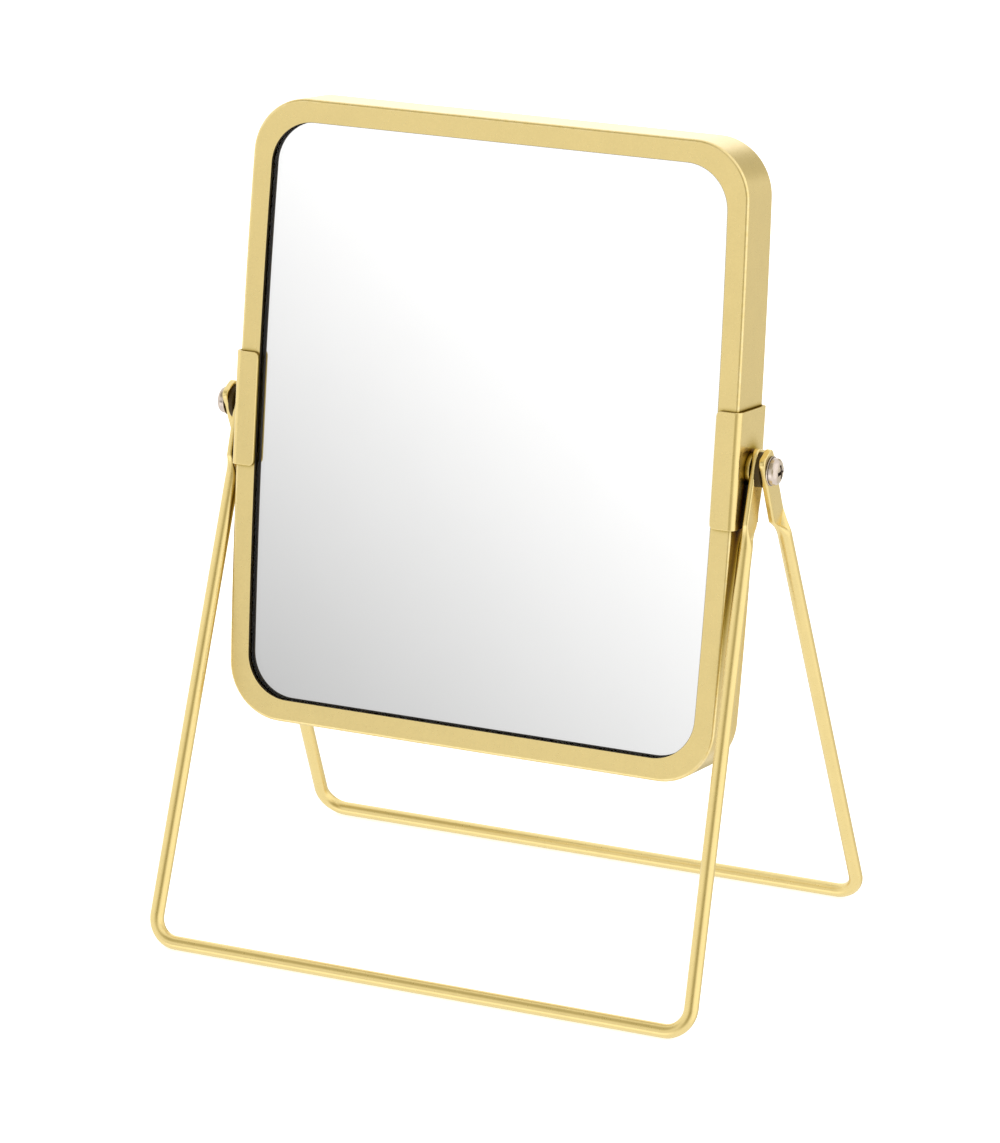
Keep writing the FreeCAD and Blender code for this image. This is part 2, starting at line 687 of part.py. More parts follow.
def mirror_head():
    flat_glass = glazing_block("front_mirror_glass", GLASS_WIDTH, GLASS_HEIGHT, GLASS_CORNER,
                               FRONT_GLASS_FACE, size("glass_thickness"))
    front_seal = seal_ring("glass_seal_front", HALF_DEPTH - size("frame_sheet"),
                           size("seal_thickness"))
    face_radius = size("magnifier_radius")
    face_ball = hollow_ball("rear_glass_face", face_radius)
    back_ball = hollow_ball("rear_glass_back", face_radius + size("glass_thickness"))
    parts = [place(frame_half("frame_upper_half"), MIRROR)]
    parts.append(place(frame_half("frame_lower_half"), MIRROR, UPSIDE_DOWN))
    parts += [place(part, MIRROR) for part in (flat_glass, front_seal)]
    parts += [place(part, MIRROR) for part in rear_glazing(face_ball, back_ball)]
    return parts


def pivot_pieces(side_name, side, screw_turn):
    """The clip and the pivot stack of one side; each piece is drawn for the right side."""
    loose_hole = size("screw_diameter") + size("loose_fit")
    parts = [
        side_clip(f"side_clip_{side_name}"),
        disc_ring(f"spacer_collar_{side_name}", size("collar_diameter"), loose_hole,
                  CLIP_OUTER, size("collar_thickness")),
        disc_ring(f"head_washer_{side_name}", size("washer_diameter"), loose_hole,
                  WASHER_INNER, size("washer_thickness")),
        pivot_nut(f"pivot_nut_{side_name}"),
    ]
    parts = [place(part, MIRROR, side) for part in parts]
    screw = pivot_screw(f"pivot_screw_{side_name}")
    parts.append(place(screw, MIRROR, side.multiply(screw_turn)))
    friction = disc_ring(f"friction_washer_{side_name}", size("friction_diameter"), loose_hole,
                         FRONT_TAB_OUTER, size("friction_thickness"))
    parts.append(place(friction, FRONT_LEG, side))
    return parts


def legs():
    front = wire_leg("front_leg", size("front_top"), size("front_foot"), size("front_length"),
                     FRONT_TAB_INNER, FRONT_TAB_OUTER)
    rear = wire_leg("rear_leg", size("rear_top"), size("rear_foot"), size("rear_length"),
                    REAR_TAB_INNER, REAR_TAB_OUTER)
    return [place(front, FRONT_LEG), place(rear, REAR_LEG)]


def check(parts):
    """Stop before writing if any object failed, or a sub-part isn't one valid solid."""
    DOCUMENT.recompute()
    for item in DOCUMENT.Objects:
        if {"Invalid", "Error"} & set(item.State):
            raise RuntimeError(f"{item.Label} is {item.State}")
    for part in parts:
        shape = part.Shape
        if shape.isNull() or not shape.isValid() or len(shape.Solids) != 1:
            raise RuntimeError(f"{part.Label} isn't one valid solid")


def write(parts):
    os.makedirs("parts", exist_ok=True)
    for part in parts:
        part.Shape.exportStep(f"parts/{part.Label}.step")
        print(f"{part.Label}: {part.Shape.Volume:.1f} mm3")


def main():
    parts = mirror_head()
    parts += pivot_pieces("right", AS_DRAWN, RIGHT_SCREW_TURN)
    parts += pivot_pieces("left", OTHER_SIDE, LEFT_SCREW_TURN)
    parts += legs()
    check(parts)
    write(parts)


main()
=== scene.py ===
import bmesh
import bpy
import json
import math
from mathutils import Matrix, Vector


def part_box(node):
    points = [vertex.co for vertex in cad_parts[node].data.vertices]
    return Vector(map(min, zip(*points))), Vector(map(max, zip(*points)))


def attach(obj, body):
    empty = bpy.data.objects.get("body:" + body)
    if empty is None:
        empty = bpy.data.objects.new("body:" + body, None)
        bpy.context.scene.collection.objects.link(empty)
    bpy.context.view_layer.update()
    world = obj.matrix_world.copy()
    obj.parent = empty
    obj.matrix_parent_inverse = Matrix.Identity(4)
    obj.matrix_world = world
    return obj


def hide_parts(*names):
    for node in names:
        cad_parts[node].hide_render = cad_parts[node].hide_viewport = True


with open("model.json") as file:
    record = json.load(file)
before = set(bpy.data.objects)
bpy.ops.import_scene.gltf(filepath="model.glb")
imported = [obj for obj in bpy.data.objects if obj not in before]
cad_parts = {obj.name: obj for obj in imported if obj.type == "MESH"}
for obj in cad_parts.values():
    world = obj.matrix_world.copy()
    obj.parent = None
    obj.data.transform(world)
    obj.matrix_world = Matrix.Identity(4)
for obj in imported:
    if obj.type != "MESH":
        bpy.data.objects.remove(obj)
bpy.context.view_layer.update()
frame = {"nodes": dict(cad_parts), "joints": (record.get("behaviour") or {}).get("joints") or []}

# Looks of the folding table mirror: detailed meshes, paint, glass and light around the CAD frame.
#
# Metres, in the frame of the CAD part: +X is to the right of someone looking at the mirror's front,
# +Y is away from them, and +Z is up. The meshes of each body are made upright, with the middle of the
# pivot line at the origin, and are then turned to the lean that the body has at rest.

MM = 0.001

# ---------------------------------------------------------------- sizes that the CAD boxes don't give

# The channel frame: its sheet, the bends along it, the width of its rim, and the plan of its outline.
SHEET = 0.6 * MM
FRAME_BEND = 0.8 * MM
RIM = 6.4 * MM
SIDE_RADIUS = 2400 * MM
FRAME_CORNER = 16 * MM
WINDOW_CORNER = 12.4 * MM
HALF_JOINT = 0.1 * MM
LIP_EDGE = 0.1 * MM

# The side clips.
CLIP_SHEET = 1.0 * MM
CLIP_BEND = 1.85 * MM
CLIP_CORNER = 1.4 * MM
CLIP_EDGE = 0.16 * MM

# The glasses. The play keeps their faces off the CAD seals and core, so that no two faces coincide.
GLASS_CORNER = 14.0 * MM
GLASS_BEVEL = 0.3 * MM
GLASS_PLAY = 0.06 * MM
MAGNIFIER_RADIUS = 1600 * MM

# The wire legs. The tops are half the distance between a leg's two wires, at the height of the pivot.
WIRE_RADIUS = 2.0 * MM
LEG_BEND = 7.0 * MM
LEG_TOPS = {"front_leg": 77.4 * MM, "rear_leg": 82.3 * MM}
RUNNING_GAP = 0.05 * MM

# The pressed ends of the legs, and how far below the pivot the pressed face and the blend end.
TAB_HALF_WIDTH = 3.7 * MM
TAB_CORNER = 2.0 * MM
TAB_EDGE = 0.22 * MM
TAB_STRAIGHT_END = 12.0 * MM
PRESS_EDGE = 15.2 * MM
PRESS_TIP = 18.8 * MM
PRESS_END = 22.0 * MM

# Washers, collars and pan-head screws.
DISC_EDGE = 0.15 * MM
SCREW_SHANK = 2.0 * MM
SCREW_CHAMFER = 0.5 * MM
HEAD_HEIGHT = 2.6 * MM
HEAD_EDGE = 1.0 * MM
RECESS_SPAN = 4.4 * MM
RECESS_ARM = 1.1 * MM
RECESS_DEPTH = 1.5 * MM
SCREW_TURNS = {"right": math.radians(15), "left": math.radians(40)}
SCREW_HOLE = 2.15 * MM
LEG_HOLE = 2.05 * MM

# How finely the meshes are made, and how their shading is split.
TURN_STEPS = 72
MERGE_DISTANCE = 0.002 * MM
SHARP_ANGLE = math.radians(38)

SIDES = {"right": 1, "left": -1}


# ---------------------------------------------------------------- poses, from the frame

def pivot_point():
    """The middle of the pivot line, from the joint that tilts the mirror."""
    for joint in frame["joints"]:
        if joint["name"] == "mirror_tilt":
            return Vector(joint["pos_m"])


PIVOT = pivot_point()


def leaning(angle):
    """From a body's own upright frame to its place at rest. A positive angle tips its top forwards."""
    return Matrix.Translation(PIVOT) @ Matrix.Rotation(angle, 4, "X")


def mirror_lean():
    """The mirror's top leans back, by the slope of its front glass's largest face."""
    faces = frame["nodes"]["front_mirror_glass"].data.polygons
    normal = max(faces, key=lambda face: face.area).normal
    return -math.atan2(abs(normal.z), abs(normal.y))


def leg_lean(node):
    """The slope of the line from the pivot to the middle of a leg's bottom bar."""
    low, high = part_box(node)
    in_front = low.y + high.y < 2 * PIVOT.y
    bar_y = low.y + WIRE_RADIUS if in_front else high.y - WIRE_RADIUS
    bar_z = low.z + WIRE_RADIUS
    return math.atan2(bar_y - PIVOT.y, PIVOT.z - bar_z)


MIRROR_POSE = leaning(mirror_lean())
FRONT_LEG_POSE = leaning(leg_lean("front_leg"))
REAR_LEG_POSE = leaning(leg_lean("rear_leg"))


def own_box(node, pose):
    """Lowest and highest corner of a CAD node in its body's own upright frame."""
    inverse = pose.inverted()
    points = [inverse @ vertex.co for vertex in frame["nodes"][node].data.vertices]
    low = Vector([min(point[axis] for point in points) for axis in range(3)])
    high = Vector([max(point[axis] for point in points) for axis in range(3)])
    return low, high


def disc_sizes(node):
    """A round CAD node's inner and outer end along the pivot line, and its least and most radius."""
    points = [vertex.co - PIVOT for vertex in frame["nodes"][node].data.vertices]
    ends = [abs(point.x) for point in points]
    radii = [math.hypot(point.y, point.z) for point in points]
    return min(ends), max(ends), min(radii), max(radii)


# ---------------------------------------------------------------- camera, floor and studio light

# Where the camera stands, in degrees, and the point beside the pivot that it looks at.
CAMERA_AZIMUTH = 24.91
CAMERA_ELEVATION = 17.95
CAMERA_DISTANCE = 1.4042
CAMERA_LENS = 160.54
AIM_RIGHT = 1.55 * MM
AIM_UP = -37.70 * MM


def direction(azimuth, elevation):
    """A unit vector towards a place in the studio. Azimuth 0 is in front, 90 to the right."""
    azimuth, elevation = math.radians(azimuth), math.radians(elevation)
    level = math.cos(elevation)
    return Vector((math.sin(azimuth) * level, -math.cos(azimuth) * level, math.sin(elevation)))


def make_camera():
    """Looks at the mirror from the front right and a little above."""
    back = direction(CAMERA_AZIMUTH, CAMERA_ELEVATION)
    right = direction(CAMERA_AZIMUTH + 90.0, 0.0)
    up = back.cross(right)
    camera = bpy.data.objects.new("camera", bpy.data.cameras.new("camera"))
    camera.data.lens = CAMERA_LENS
    camera.location = PIVOT + right * AIM_RIGHT + up * AIM_UP + back * CAMERA_DISTANCE
    camera.rotation_mode = "QUATERNION"
    camera.rotation_quaternion = (-back).to_track_quat("-Z", "Y")
    camera.data.clip_start = 0.05
    camera.data.clip_end = 50.0
    bpy.context.scene.collection.objects.link(camera)
    bpy.context.scene.camera = camera


class Nodes:
    """Short ways to add and join the nodes of one material or of the world."""

    def __init__(self, tree):
        self.tree = tree
        tree.nodes.clear()

    def put(self, socket, value):
        """A value is a number, a colour, or another node's output, which is linked."""
        if isinstance(value, bpy.types.NodeSocket):
            self.tree.links.new(value, socket)
        else:
            socket.default_value = value

    def add(self, kind, inputs=None, **settings):
        node = self.tree.nodes.new(kind)
        for name, value in settings.items():
            setattr(node, name, value)
        for name, value in (inputs or {}).items():
            self.put(node.inputs[name], value)
        return node

    def math(self, operation, first, second=0.0):
        return self.add("ShaderNodeMath", {0: first, 1: second}, operation=operation).outputs[0]

    def mapped(self, value, from_low, from_high, to_low, to_high, kind="LINEAR"):
        inputs = {"Value": value, "From Min": from_low, "From Max": from_high,
                  "To Min": to_low, "To Max": to_high}
        return self.add("ShaderNodeMapRange", inputs, interpolation_type=kind).outputs["Result"]

    def scaled(self, colour, factor):
        node = self.add("ShaderNodeVectorMath", {0: colour, "Scale": factor}, operation="SCALE")
        return node.outputs["Vector"]

    def mixed(self, factor, first, second):
        node = self.add("ShaderNodeMix", data_type="RGBA")
        for index, value in ((0, factor), (6, first), (7, second)):
            self.put(node.inputs[index], value)
        return node.outputs[2]

    def noise(self, coordinates, cells_per_metre, detail=2.0):
        inputs = {"Vector": coordinates, "Scale": cells_per_metre, "Detail": detail}
        return self.add("ShaderNodeTexNoise", inputs).outputs["Fac"]

    def varied(self, noise, low, high):
        """From low to high over the range that a noise texture mostly stays in."""
        return self.mapped(noise, 0.3, 0.7, low, high)

    def openness(self, reach, samples):
        """One on an open surface, and less where other surfaces stand close."""
        inputs = {"Distance": reach}
        return self.add("ShaderNodeAmbientOcclusion", inputs, samples=samples).outputs["AO"]

    def dot(self, vector, constant):
        node = self.add("ShaderNodeVectorMath", {0: vector, 1: constant}, operation="DOT_PRODUCT")
        return node.outputs["Value"]


WHITE = (1.0, 1.0, 1.0, 1.0)

# The even light of the studio, and its colour where it is light and where it is dark. The dark parts
# are tinted gold, which deepens the shades of the paint. A mirror turned towards them shows the tint.
STUDIO_LEVEL = 1.45
LIGHT_TINT = (0.80, 0.80, 0.80)
DARK_TINT = (0.80, 0.74, 0.48)
BACKDROP_LEVEL = 1.5
# Soft panels and dark flags round the studio: where they are (azimuth, elevation), the half angle of
# their even part, the half angle where they have faded out, and what they add to the light.
STUDIO = {
    "right softbox": (92, 4, 26, 50, 0.25),
    "bright wall behind": (204, 10, 14, 30, 0.35),
    "camera and its dark surround": (20, 5, 8, 34, -0.60),
    "dim room above the camera": (6, 20, 12, 34, -0.32),
    "dim corner behind": (168, 17, 6, 20, -0.75),
    "dark ceiling in front": (-38, 52, 14, 34, -0.75),
    "dark low gap behind": (205, -28, 10, 24, -0.85),
    "dim wall right behind": (152, -18, 14, 34, -0.40),
    "bright patch low in front": (-24, -26, 8, 20, 0.60),
}
# A dark edge in front on the left, which the mirror shows as an even, slanted fade: the
# plane that it fades across, the distances from it where the fade ends and starts, how much light it
# takes at most, and its place in the studio.
FADE_NORMAL = Vector((0.5425, -0.2905, 0.789))
FADE_LOW, FADE_HIGH = -0.087, 0.034
FADE_DROP = -0.93
FADE_PLACE = (-24, -4, 7, 15)

FLOOR_REACH = 8.0
FLOOR_GLOW = 0.6


def lobe(nodes, ray, place):
    """One inside the half angle of a place's even part, easing to zero at its outer half angle."""
    azimuth, elevation, even, faded = place
    nearness = nodes.dot(ray, direction(azimuth, elevation))
    inner, outer = math.cos(math.radians(even)), math.cos(math.radians(faded))
    return nodes.mapped(nearness, outer, inner, 0.0, 1.0, "SMOOTHSTEP")


def make_studio():
    """A white backdrop for the camera; for light and reflections, a soft studio of panels and flags."""
    world = bpy.data.worlds.new("studio")
    bpy.context.scene.world = world
    world.use_nodes = True
    nodes = Nodes(world.node_tree)
    ray = nodes.add("ShaderNodeTexCoord").outputs["Generated"]
    light = STUDIO_LEVEL
    darkness = 0.0
    for *place, strength in STUDIO.values():
        part = nodes.math("MULTIPLY", lobe(nodes, ray, place), strength)
        light = nodes.math("ADD", part, light)
        if strength < 0.0:
            darkness = nodes.math("SUBTRACT", darkness, part)
    across = nodes.dot(ray, FADE_NORMAL)
    fade = nodes.mapped(across, FADE_LOW, FADE_HIGH, FADE_DROP, 0.0)
    fade = nodes.math("MULTIPLY", fade, lobe(nodes, ray, FADE_PLACE))
    light = nodes.math("ADD", light, fade)
    seen = nodes.add("ShaderNodeLightPath").outputs["Is Camera Ray"]
    tint = nodes.mixed(darkness, (*LIGHT_TINT, 1.0), (*DARK_TINT, 1.0))
    studio = nodes.add("ShaderNodeBackground", {"Color": tint, "Strength": light})
    backdrop = nodes.add("ShaderNodeBackground", {"Strength": BACKDROP_LEVEL})
    both = nodes.add("ShaderNodeMixShader", {0: seen, 1: studio.outputs[0], 2: backdrop.outputs[0]})
    nodes.add("ShaderNodeOutputWorld", {"Surface": both.outputs[0]})


def floor_material():
    """A pale, faintly uneven floor that glows a little, so that it comes out near white."""
    material, nodes = new_material("pale_floor")
    place = nodes.add("ShaderNodeTexCoord").outputs["Object"]
    shade = nodes.varied(nodes.noise(place, 3.0), 0.86, 0.90)
    finish_material(nodes, {
        "Base Color": nodes.scaled((1.0, 1.0, 1.0), shade),
        "Roughness": 0.9,
        "Specular IOR Level": 0.0,
        "Emission Color": WHITE,
        "Emission Strength": FLOOR_GLOW,
    })
    return material


def make_floor():
    """A plain pale floor. Shiny pieces reflect the studio and not the floor."""
    corners = [(FLOOR_REACH * x, FLOOR_REACH * y, 0) for x, y in ((-1, -1), (1, -1), (1, 1), (-1, 1))]
    mesh = bpy.data.meshes.new("floor")
    mesh.from_pydata(corners, [], [(0, 1, 2, 3)])
    floor = bpy.data.objects.new("floor", mesh)
    bpy.context.scene.collection.objects.link(floor)
    mesh.materials.append(floor_material())
    floor.visible_glossy = False
    floor.visible_transmission = False


# ---------------------------------------------------------------- materials

def new_material(name):
    """An empty node material, and the short ways to fill it."""
    material = bpy.data.materials.new(name)
    material.use_nodes = True
    return material, Nodes(material.node_tree)


def finish_material(nodes, inputs, bump=None):
    """Join a material's values to a Principled shader; bump is (height, strength, distance)."""
    if bump is not None:
        height, strength, distance = bump
        relief = nodes.add("ShaderNodeBump", {"Height": height, "Strength": strength,
                                              "Distance": distance})
        inputs = dict(inputs, Normal=relief.outputs["Normal"])
    shader = nodes.add("ShaderNodeBsdfPrincipled", inputs)
    nodes.add("ShaderNodeOutputMaterial", {"Surface": shader.outputs["BSDF"]})


# The gold paint, and where it is worn on an edge; then painted shade, near and deep in crevices and
# gaps between parts, standing in for light that reaches there only from other gold faces.
PAINT = (0.80, 0.635, 0.275)
PAINT_WORN = (0.90, 0.76, 0.45)
NEAR_CREVICE_PAINTED_SHADE = (0.42, 0.30, 0.045)
DEEP_CREVICE_PAINTED_SHADE = (0.10, 0.062, 0.0)
# How far the painted shade looks for other surfaces, on the paint and on plated metal.
SHADE_REACH_ON_PAINT = 7.0 * MM
SHADE_REACH_ON_METAL = 2.0 * MM

# Below the 1.52 of real glass. It hardly matters: the seal beside the front glass gets a little darker.
GLASS_IOR = 1.35

# How many grains of each kind there are in a metre of painted or plated surface.
FLAKES, PAINT_GRAINS, WORN_PATCHES, PAINT_CLOUDS = 2400.0, 1500.0, 700.0, 160.0
METAL_GRAINS, METAL_CLOUDS = 5000.0, 500.0


def gold_paint(name, add_painted_shade):
    """Fine-grained metallic gold paint: flakes, soft cloudiness, a faint grain, paler worn edges; if
    asked, painted shade darkens it in crevices and gaps between parts.
    """
    material, nodes = new_material(name)
    place = nodes.add("ShaderNodeTexCoord").outputs["Object"]
    cells = nodes.add("ShaderNodeTexVoronoi", {"Vector": place, "Scale": FLAKES})
    flake = nodes.add("ShaderNodeSeparateColor", {0: cells.outputs["Color"]}).outputs[0]
    flake_shade = nodes.mapped(flake, 0.0, 1.0, 0.98, 1.015)
    cloud_shade = nodes.varied(nodes.noise(place, PAINT_CLOUDS, 3.0), 0.98, 1.015)
    shade = nodes.math("MULTIPLY", flake_shade, cloud_shade)
    worn = nodes.add("ShaderNodeAttribute", attribute_name="wear").outputs["Fac"]
    patchy = nodes.mapped(nodes.noise(place, WORN_PATCHES), 0.35, 0.7, 0.0, 0.45)
    colour = nodes.mixed(nodes.math("MULTIPLY", worn, patchy), (*PAINT, 1.0), (*PAINT_WORN, 1.0))
    glancing_tint = WHITE
    if add_painted_shade:
        # Painted shade: where ambient occlusion finds other surfaces close, the colour and the glancing
        # tint go towards a dark olive.
        openness = nodes.openness(SHADE_REACH_ON_PAINT, 16)
        shallow = nodes.mapped(openness, 0.20, 0.62, 0.0, 1.0)
        painted_shade_colour = nodes.mixed(shallow, (*DEEP_CREVICE_PAINTED_SHADE, 1.0), (*NEAR_CREVICE_PAINTED_SHADE, 1.0))
        clear = nodes.mapped(openness, 0.52, 0.90, 0.0, 1.0)
        colour = nodes.mixed(clear, painted_shade_colour, colour)
        glancing_tint = nodes.mixed(clear, painted_shade_colour, glancing_tint)
    grain = nodes.noise(place, PAINT_GRAINS, 3.0)
    finish_material(nodes, {
        "Base Color": nodes.scaled(colour, shade),
        "Metallic": 1.0,
        "Roughness": nodes.varied(grain, 0.27, 0.32),
        "Specular Tint": glancing_tint,
        "Coat Weight": 0.15,
        "Coat Roughness": 0.12,
    }, (grain, 0.06, 0.02 * MM))
    return material


def clear_glass():
    """The clear front of a mirror's glass, with the faintest smears."""
    material, nodes = new_material("clear_glass")
    place = nodes.add("ShaderNodeTexCoord").outputs["Object"]
    smear = nodes.noise(place, 60.0, 4.0)
    tint = nodes.mapped(smear, 0.2, 0.8, 0.985, 0.995)
    finish_material(nodes, {
        "Base Color": nodes.scaled((0.995, 1.0, 0.998), tint),
        "Roughness": nodes.mapped(smear, 0.2, 0.8, 0.0, 0.004),
        "IOR": GLASS_IOR,
        "Transmission Weight": 1.0,
    })
    return material


def silvering():
    """The bright metal layer behind the glass."""
    material, nodes = new_material("silvering")
    place = nodes.add("ShaderNodeTexCoord").outputs["Object"]
    tint = nodes.varied(nodes.noise(place, 25.0, 3.0), 0.975, 0.985)
    finish_material(nodes, {
        "Base Color": nodes.scaled((0.972, 0.968, 0.965), tint),
        "Metallic": 1.0,
        "Roughness": 0.0,
    })
    return material


def ground_edge():
    """The matt, greenish edge of cut glass."""
    material, nodes = new_material("ground_glass_edge")
    place = nodes.add("ShaderNodeTexCoord").outputs["Object"]
    grain = nodes.noise(place, 4000.0)
    finish_material(nodes, {
        "Base Color": nodes.scaled((0.10, 0.14, 0.12), nodes.varied(grain, 0.7, 1.2)),
        "Roughness": nodes.varied(grain, 0.5, 0.7),
    }, (grain, 0.3, 0.02 * MM))
    return material


def dark_matt(name, colour, grain_size, roughness):
    """A dark moulded or foamed plastic with a fine grain."""
    material, nodes = new_material(name)
    place = nodes.add("ShaderNodeTexCoord").outputs["Object"]
    grain = nodes.noise(place, 1.0 / grain_size, 3.0)
    finish_material(nodes, {
        "Base Color": nodes.scaled(colour, nodes.varied(grain, 0.6, 1.5)),
        "Roughness": nodes.varied(grain, roughness - 0.08, roughness + 0.08),
        "Specular IOR Level": 0.15,
    }, (grain, 0.4, grain_size / 10))
    return material


def plated_metal(name, colour, roughness):
    """Plated steel with a fine grain and a little mottling, and painted shade that darkens it in its
    recesses.
    """
    material, nodes = new_material(name)
    place = nodes.add("ShaderNodeTexCoord").outputs["Object"]
    mottle = nodes.noise(place, METAL_CLOUDS, 3.0)
    grain = nodes.noise(place, METAL_GRAINS, 2.0)
    # Painted shade: the colour darkens almost to black where ambient occlusion finds surfaces within
    # reach, as in the screw's recess.
    shade = nodes.mapped(nodes.openness(SHADE_REACH_ON_METAL, 8), 0.3, 0.95, 0.05, 1.0)
    shade = nodes.math("MULTIPLY", shade, nodes.varied(mottle, 0.82, 1.02))
    finish_material(nodes, {
        "Base Color": nodes.scaled(colour, shade),
        "Metallic": 1.0,
        "Roughness": nodes.varied(mottle, roughness - 0.05, roughness + 0.07),
    }, (grain, 0.2, 0.01 * MM))
    return material


# ---------------------------------------------------------------- mesh helpers

def spread(start, end, steps):
    """Evenly spaced values from start to end, both included."""
    return [start + (end - start) * step / steps for step in range(steps + 1)]


def rounded(corners, radii, steps, support=0.0):
    """A closed outline whose right-angled corners are arcs. Gives (point, wear) pairs.

    Wear is one on the arcs. A support adds a point that far from each arc, where the wear ends.
    """
    outline = []
    for index, (corner, radius) in enumerate(zip(corners, radii)):
        before = (Vector(corners[index - 1]) - Vector(corner)).normalized()
        after = (Vector(corners[(index + 1) % len(corners)]) - Vector(corner)).normalized()
        centre = Vector(corner) + (before + after) * radius
        if support:
            outline.append((Vector(corner) + before * (radius + support), 0.0))
        for turn in spread(0.0, math.pi / 2, steps):
            arm = after * math.cos(turn) + before * math.sin(turn)
            outline.append((centre - arm * radius, 1.0))
        if support:
            outline.append((Vector(corner) + after * (radius + support), 0.0))
    return outline


def corner_loss(distance, corner):
    """How much an edge draws in at a distance from the end of a strip with rounded corners."""
    if distance >= corner:
        return 0.0
    return corner - math.sqrt(corner ** 2 - (corner - distance) ** 2)


def loft(name, rings, materials=(), wear=None, slot_of=None, ring_closed=True, path_closed=False):
    """Skin a row of rings that all have the same number of points.

    Closed rings along an open path make a solid: its first and last ring are closed with a face. Wear
    is one value for each point of a ring, and slot_of gives the material for a row and a point.
    """
    build = bmesh.new()
    wear_layer = build.verts.layers.float.new("wear")
    rows = []
    for ring in rings:
        row = [build.verts.new(point) for point in ring]
        for vertex, amount in zip(row, wear or [0.0] * len(row)):
            vertex[wear_layer] = amount
        rows.append(row)
    count = len(rows[0])
    pairs = list(zip(rows, rows[1:]))
    if path_closed:
        pairs.append((rows[-1], rows[0]))
    for number, (row, following) in enumerate(pairs):
        for i in range(count if ring_closed else count - 1):
            j = (i + 1) % count
            face = build.faces.new((row[i], row[j], following[j], following[i]))
            face.material_index = slot_of(number, i) if slot_of else 0
    if ring_closed and not path_closed:
        build.faces.new(rows[0])
        build.faces.new(rows[-1])
    bmesh.ops.remove_doubles(build, verts=build.verts, dist=MERGE_DISTANCE)
    bmesh.ops.recalc_face_normals(build, faces=build.faces)
    mesh = bpy.data.meshes.new(name)
    for material in materials:
        mesh.materials.append(material)
    build.to_mesh(mesh)
    build.free()
    piece = bpy.data.objects.new(name, mesh)
    bpy.context.scene.collection.objects.link(piece)
    return piece


def cut_away(piece, cutter):
    """Take the cutter's shape out of the piece, and remove the cutter."""
    modifier = piece.modifiers.new("cut", "BOOLEAN")
    modifier.operation = "DIFFERENCE"
    modifier.object = cutter
    graph = bpy.context.evaluated_depsgraph_get()
    cut = bpy.data.meshes.new_from_object(piece.evaluated_get(graph))
    piece.modifiers.clear()
    piece.data = cut
    bpy.data.objects.remove(cutter)


def drill_along_pivot(piece, radius):
    """Bore a piece through along the pivot line."""
    end = 100 * MM
    profile = [(-end, 0.0), (-end, radius), (end, radius), (end, 0.0)]
    cut_away(piece, revolved("drill", profile, closed=False))


def revolved(name, profile, closed, materials=(), wear=None):
    """Turn an outline of (x, radius) points round the pivot line."""
    turns = spread(0.0, 2 * math.pi, TURN_STEPS)[:-1]
    rings = [[(x, radius * math.cos(turn), radius * math.sin(turn)) for x, radius in profile]
             for turn in turns]
    return loft(name, rings, materials, wear, ring_closed=closed, path_closed=True)


def finish_piece(piece, pose, body, slot, *nodes):
    """Smooth a piece, move it to its rest pose, hang it on its body and hide the CAD nodes it stands
    for.
    """
    piece.data.transform(pose)
    piece.data.shade_smooth()
    piece.data.set_sharp_from_angle(angle=SHARP_ANGLE)
    weighted = piece.modifiers.new("even_normals", "WEIGHTED_NORMAL")
    weighted.keep_sharp = True
    weighted.weight = 60
    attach(piece, body)
    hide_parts(*nodes)


# ---------------------------------------------------------------- mirror head

def upper_outline(half_width, half_height, corner, side_radius):
    """Points and outward normals round the upper half of an outline with slightly bulging sides.

    They run from the right joint over the top to the left one.
    """
    reach = side_radius - corner
    slant = math.asin((half_height - corner) / reach)
    corner_x = half_width - side_radius + reach * math.cos(slant)
    right = []
    for angle in spread(math.asin(HALF_JOINT / side_radius), slant, 24)[:-1]:
        normal = Vector((math.cos(angle), 0.0, math.sin(angle)))
        centre = Vector((half_width - side_radius, 0.0, 0.0))
        right.append((centre + normal * side_radius, normal))
    for angle in spread(slant, math.pi / 2, 18):
        normal = Vector((math.cos(angle), 0.0, math.sin(angle)))
        centre = Vector((corner_x, 0.0, half_height - corner))
        right.append((centre + normal * corner, normal))
    top = [(Vector((x, 0.0, half_height)), Vector((0.0, 0.0, 1.0)))
           for x in spread(corner_x, -corner_x, 24)[1:-1]]
    flip = Vector((-1.0, 1.0, 1.0))
    left = [(point * flip, normal * flip) for point, normal in reversed(right)]
    return right + top + left


